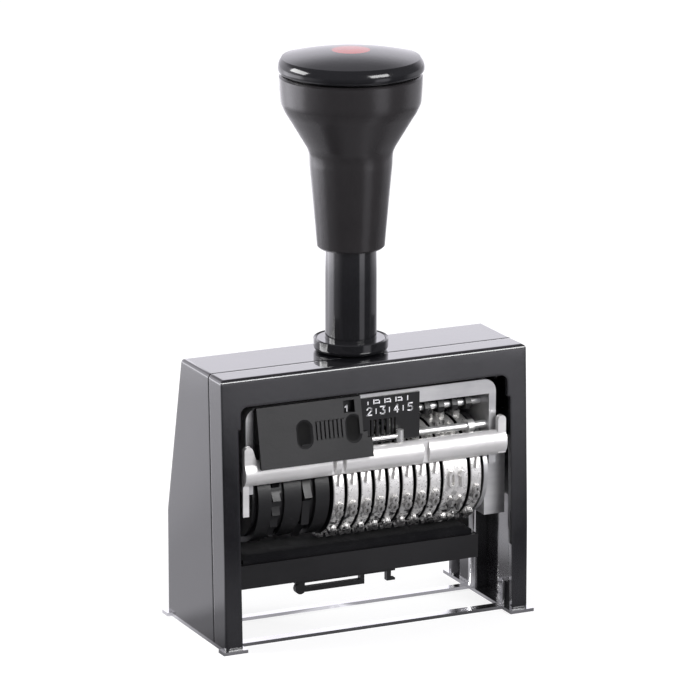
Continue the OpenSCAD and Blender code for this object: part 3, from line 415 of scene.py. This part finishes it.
# The repeat scale, in millimetres. Each figure is one line of points in a box 1 wide and
# DIGIT_UNITS tall, drawn DIGIT_ASPECT as wide as it is tall.
DIGITS = {
    1: [(0.15, 1.4), (0.55, 1.8), (0.55, 0)],
    2: [(0, 1.4), (0.3, 1.8), (0.75, 1.8), (1, 1.45), (1, 1.1), (0, 0), (1, 0)],
    3: [(0, 1.8), (1, 1.8), (0.45, 1.1), (1, 0.75), (1, 0.3), (0.7, 0), (0.2, 0), (0, 0.25)],
    4: [(0.75, 0), (0.75, 1.8), (0, 0.55), (1, 0.55)],
    5: [(0.95, 1.8), (0.1, 1.8), (0.05, 1), (0.65, 1.1), (1, 0.75), (1, 0.35), (0.7, 0), (0, 0.1)],
}
DIGIT_UNITS, DIGIT_ASPECT = 1.8, 0.62
DIGIT_HEIGHT = 2.0
# the middle of each figure; the first stands alone and higher
DIGIT_SPOTS = ((1, -7.75, 61.1), (2, -1.2, 59.6), (3, 2.65, 59.6), (4, 6.6, 59.6), (5, 10.65, 59.6))
DIVIDER_X, DIVIDER_Z = (0.75, 4.6, 8.6), (58.9, 60.1)
# the row of marks above: upright ticks, every other one taller, and pairs of short dashes
TICK_X, TICK_FOOT, TICK_TOPS = (-1.6, 0.1, 1.7, 3.3, 4.9, 6.5, 8.2, 9.9), 61.6, (62.2, 62.6)
DASH_X, DASH_LENGTH, DASH_Z = (0.5, 3.8, 7.1), 0.9, (61.7, 62.5)
DIGIT_LINE, TICK_LINE, THIN_LINE = 0.34, 0.3, 0.26
PAINT_THICK, PAINT_GAP = 0.03, 0.005
SCALE_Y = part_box("scale_plate")[0].y / MM


def stroke(bm, a, b, width):
    """A flat painted stroke on the scale plate, between two X-Z points."""
    a, b = Vector((a[0], 0, a[1])), Vector((b[0], 0, b[1]))
    along = (b - a).normalized() * width / 2
    side = Vector((-along.z, 0, along.x))
    ring = [a - along + side, a - along - side, b + along - side, b + along + side]
    y = SCALE_Y - PAINT_GAP
    front = [bm.verts.new(p + Vector((0, y - PAINT_THICK, 0))) for p in ring]
    back = [bm.verts.new(p + Vector((0, y, 0))) for p in ring]
    bm.faces.new(front)
    bm.faces.new(back[::-1])
    for i in range(4):
        j = (i + 1) % 4
        bm.faces.new((front[j], front[i], back[i], back[j]))


def digit(bm, value, x, z):
    """One figure of the scale, centred on x and z."""
    spots = [
        (x + (u - 0.5) * DIGIT_HEIGHT * DIGIT_ASPECT, z + (v / DIGIT_UNITS - 0.5) * DIGIT_HEIGHT)
        for u, v in DIGITS[value]
    ]
    for a, b in zip(spots, spots[1:]):
        stroke(bm, a, b, DIGIT_LINE)


def scale_marks(bm):
    """The repeat scale: figures one to five, dividers and the row of marks above them."""
    for value, x, z in DIGIT_SPOTS:
        digit(bm, value, x, z)
    for x in DIVIDER_X:
        stroke(bm, (x, DIVIDER_Z[0]), (x, DIVIDER_Z[1]), THIN_LINE)
    for k, x in enumerate(TICK_X):
        stroke(bm, (x, TICK_FOOT), (x, TICK_TOPS[k % 2]), TICK_LINE)
    for x in DASH_X:
        for z in DASH_Z:
            stroke(bm, (x, z), (x + DASH_LENGTH, z), THIN_LINE)


make("scale_figures", "carriage", PAINT, scale_marks)


# the felt pad: its cells each way, its worn rim's drop and width, the height of its ripples, and
# the radians of ripple along and across it
PAD_CELLS = (60, 18)
RIM_DROP, RIM_WIDTH = 0.9, 1.4
RIPPLE, RIPPLE_ALONG, RIPPLE_ACROSS = 0.12, 61.0, 9.0


def pad(bm):
    """The felt pad: a block whose top ripples a little and rounds off at the rims."""
    low, high = (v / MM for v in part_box("ink_pad"))
    size = high - low
    along, across = PAD_CELLS
    rows = []
    for i in range(along + 1):
        u = i / along
        row = []
        for j in range(across + 1):
            v = j / across
            edge = min(u * size.x, (1 - u) * size.x, v * size.y, (1 - v) * size.y)
            sag = RIM_DROP * (1 - min(1.0, edge / RIM_WIDTH)) ** 2
            swell = math.sin(u * RIPPLE_ALONG) * math.cos(v * RIPPLE_ACROSS)
            wave = RIPPLE * (1 + swell) * 0.5
            row.append(bm.verts.new((low.x + u * size.x, low.y + v * size.y, high.z - sag - wave)))
        rows.append(row)
    for i in range(along):
        for j in range(across):
            bm.faces.new((rows[i][j], rows[i + 1][j], rows[i + 1][j + 1], rows[i][j + 1]))
    # once round the rim, and down to the foot from each of its points
    rim = [rows[i][0] for i in range(along + 1)]
    rim += [rows[along][j] for j in range(1, across + 1)]
    rim += [rows[i][across] for i in range(along - 1, -1, -1)]
    rim += [rows[0][j] for j in range(across - 1, 0, -1)]
    foot = [bm.verts.new((v.co.x, v.co.y, low.z)) for v in rim]
    for i in range(len(rim)):
        j = (i + 1) % len(rim)
        bm.faces.new((rim[j], rim[i], foot[i], foot[j]))
    bm.faces.new(foot)


felt_pad = make("felt_pad", "tray", FELT, pad)
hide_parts("ink_pad")


# the return spring: its turns, the radius of its wire, rings of points to a turn, points to a ring
SPRING_TURNS = 9
WIRE_R = 0.5
RINGS_PER_TURN, WIRE_SIDES = 24, 10


def coil(bm):
    """The return spring as one round wire, wound between its two seats."""
    low, high = (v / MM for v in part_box("return_spring"))
    middle = (low + high) / 2
    radius = (high.x - low.x) / 2 - WIRE_R
    rings = RINGS_PER_TURN * SPRING_TURNS
    rows = []
    for i in range(rings + 1):
        t = i / rings
        turn = math.tau * SPRING_TURNS * t
        out = Vector((math.cos(turn), math.sin(turn), 0))
        z = low.z + 2 * WIRE_R + (high.z - low.z - 4 * WIRE_R) * t
        spot = Vector((middle.x, AXLE.y, z)) + out * radius
        row = []
        for k in range(WIRE_SIDES):
            a = math.tau * k / WIRE_SIDES
            round_wire = out * math.cos(a) + Vector((0, 0, math.sin(a)))
            row.append(bm.verts.new(spot + WIRE_R * round_wire))
        rows.append(row)
    for a, b in zip(rows, rows[1:]):
        for k in range(WIRE_SIDES):
            j = (k + 1) % WIRE_SIDES
            bm.faces.new((a[k], a[j], b[j], b[k]))
    bm.faces.new(rows[0][::-1])
    bm.faces.new(rows[-1])


spring_coil = make("spring_coil", "housing", SPRING, coil)
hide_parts("return_spring")
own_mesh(spring_coil)


# ------------------------------------------------------------- floor and light

FLOOR_RADIUS, FLOOR_SEGMENTS = 6, 96
# the floor as the eye sees it: the grey that the object's shadow darkens, and the glow that lifts
# it to white, from one reach to another in metres and from one strength to another
FLOOR_SHADE = rgb(0.36, 0.36, 0.36)
FLOOR_GLOW = (0.5, 1.6, 0.76, 1)
# the floor in diffuse light, and the slight tint of what it mirrors
FLOOR_PALE = rgb(0.8, 0.8, 0.8)
MIRROR_TINT = rgb(1, 0.985, 1.05)
# the sky: its strength in diffuse light, its least in gloss, its tint in both, and white
SKY_DIFFUSE, SKY_LEAST = 0.42, 0.28
SKY_TINT = rgb(1, 0.98, 1.06)
WHITE = rgb(1, 1, 1)

# the photograph's view: degrees to the left and above, metres away, and a long lens in millimetres
CAMERA_AZIMUTH, CAMERA_ELEVATION = -25.16, 14.95
CAMERA_DISTANCE, CAMERA_LENS = 1.341, 261.8
CAMERA_TARGET = (0.00064, 0, 0.07224)
CAMERA_CLIP = (0.05, 50)

# each softbox's name, place, target, size and brightness
LAMPS = (
    ("front", (0.4, -0.99, 0.61), (0, 0, 0.07), (0.62, 0.4), 13.0),
    ("left_back", (-0.95, 0.53, 0.58), (0, 0, 0.07), (0.7, 0.42), 12.0),
    ("top", (0.0, 0.25, 1.3), (0, 0, 0), (0.8, 0.4), 1.2),
)


def floor_material():
    """Pale floor: white to the eye, with the object's shadow; in gloss it mirrors the studio."""
    material = bpy.data.materials.new("floor_pale")
    material.use_nodes = True
    g = Nodes(material.node_tree)
    g.tree.nodes.remove(g.tree.nodes["Principled BSDF"])
    path = g.add("LightPath").outputs
    where = g.add("NewGeometry").outputs["Position"]
    split = g.add("SeparateXYZ", {0: where}).outputs
    # metres from the object's foot
    reach = g.add("VectorMath", {0: where}, operation="LENGTH").outputs["Value"]
    # degrees round the object: 0 is the front, minus is its left
    turn = g.times(g.math("ARCTAN2", split["X"], g.times(split["Y"], -1.0)), 180 / math.pi)

    # what glossy surfaces see: dim in front, brighter to the sides and behind
    front = g.times(g.span(turn, -75, -50), g.span(turn, 75, 50))
    near = g.times(front, g.span(reach, 0.06, 0.14, 0.22, 0))
    near = g.times(near, g.span(reach, 0.03, 0.05))
    left = g.plus(g.span(turn, -58, -100, 0.075, 0.42), near)
    left_box = g.times(g.span(turn, -100, -114), g.span(turn, -160, -140))
    left_box = g.times(left_box, g.span(reach, 0.25, 0.34, 0.35, 1.3))
    back_left = g.span(turn, -135, -155, 0, 0.45)
    right = g.span(turn, 62, 88, 0, 0.3)
    back_right = g.span(turn, 120, 165, 0, 0.7)
    # a bright strip to the right of the front, which lights the round parts' right flanks
    streak = g.times(g.span(turn, 10, 17), g.span(turn, 42, 32))
    rise = g.plus(g.span(reach, 0.03, 0.09, 0.0, 0.34), g.span(reach, 0.12, 0.35, 0, 0.27))
    level = left
    for part in (left_box, back_left, right, back_right, g.times(streak, rise)):
        level = g.plus(level, part)
    level = g.times(level, g.span(reach, 0.37, 0.41, 1, 2.1))
    mirrored = g.add("Emission", {"Color": MIRROR_TINT, "Strength": level}).outputs[0]

    # what the eye sees, and what every other ray sees
    shade = g.add("BsdfDiffuse", {"Color": FLOOR_SHADE}).outputs[0]
    glow = {"Color": WHITE, "Strength": g.span(reach, *FLOOR_GLOW)}
    seen = g.add("AddShader", {0: shade, 1: g.add("Emission", glow).outputs[0]}).outputs[0]
    plain = g.add("BsdfDiffuse", {"Color": FLOOR_PALE}).outputs[0]
    eye = g.math("MAXIMUM", path["Is Camera Ray"], path["Is Transmission Ray"])
    surface = g.add("MixShader", {0: eye, 1: plain, 2: seen}).outputs[0]
    surface = g.add("MixShader", {0: path["Is Glossy Ray"], 1: surface, 2: mirrored}).outputs[0]
    g.plug(surface, g.tree.nodes["Material Output"].inputs["Surface"])
    return material


def floor():
    """A round floor that reaches well past the edges of the picture."""
    mesh = bpy.data.meshes.new("floor")
    bm = bmesh.new()
    bmesh.ops.create_circle(bm, cap_ends=True, segments=FLOOR_SEGMENTS, radius=FLOOR_RADIUS)
    bm.to_mesh(mesh)
    bm.free()
    mesh.materials.append(floor_material())
    piece = bpy.data.objects.new("floor", mesh)
    bpy.context.scene.collection.objects.link(piece)


def lamp(name, place, target, size, radiance):
    """A rectangular softbox whose face has the given brightness."""
    data = bpy.data.lights.new(name, "AREA")
    data.shape = "RECTANGLE"
    data.size, data.size_y = size
    data.energy = math.pi * size[0] * size[1] * radiance
    light = bpy.data.objects.new(name, data)
    light.location = place
    light.rotation_mode = "QUATERNION"
    light.rotation_quaternion = (Vector(target) - Vector(place)).to_track_quat("-Z", "Y")
    bpy.context.scene.collection.objects.link(light)


def world():
    """White to the eye; in gloss bright low behind the object and dim in front and overhead."""
    studio = bpy.data.worlds.new("studio")
    bpy.context.scene.world = studio
    studio.use_nodes = True
    g = Nodes(studio.node_tree)
    path = g.add("LightPath").outputs
    toward = g.add("SeparateXYZ", {0: g.add("TexCoord").outputs["Generated"]}).outputs
    behind = g.span(toward["Y"], 0.1, 0.75, 0.0, 1.14)
    low = g.span(toward["Z"], 0.27, 0.54, 1.0, 0.12)
    mirrored = g.plus(g.times(behind, low), SKY_LEAST)
    unseen = g.blend(path["Is Glossy Ray"], SKY_DIFFUSE, mirrored)
    sky = g.tree.nodes["Background"]
    g.plug(g.blend(path["Is Camera Ray"], unseen, 1.0), sky.inputs["Strength"])
    g.plug(g.mix(path["Is Camera Ray"], SKY_TINT, WHITE), sky.inputs["Color"])


def camera():
    """The photograph's view: 25 degrees to the left and 15 above."""
    azimuth, elevation = math.radians(CAMERA_AZIMUTH), math.radians(CAMERA_ELEVATION)
    back = Vector((
        math.sin(azimuth) * math.cos(elevation),
        -math.cos(azimuth) * math.cos(elevation),
        math.sin(elevation),
    ))
    data = bpy.data.cameras.new("camera")
    data.lens = CAMERA_LENS
    data.clip_start, data.clip_end = CAMERA_CLIP
    view = bpy.data.objects.new("camera", data)
    view.location = Vector(CAMERA_TARGET) + back * CAMERA_DISTANCE
    view.rotation_mode = "QUATERNION"
    view.rotation_quaternion = (-back).to_track_quat("-Z", "Y")
    bpy.context.scene.collection.objects.link(view)
    bpy.context.scene.camera = view


camera()
floor()
world()
for settings in LAMPS:
    lamp(*settings)

bpy.context.scene.view_settings.view_transform = "Standard"
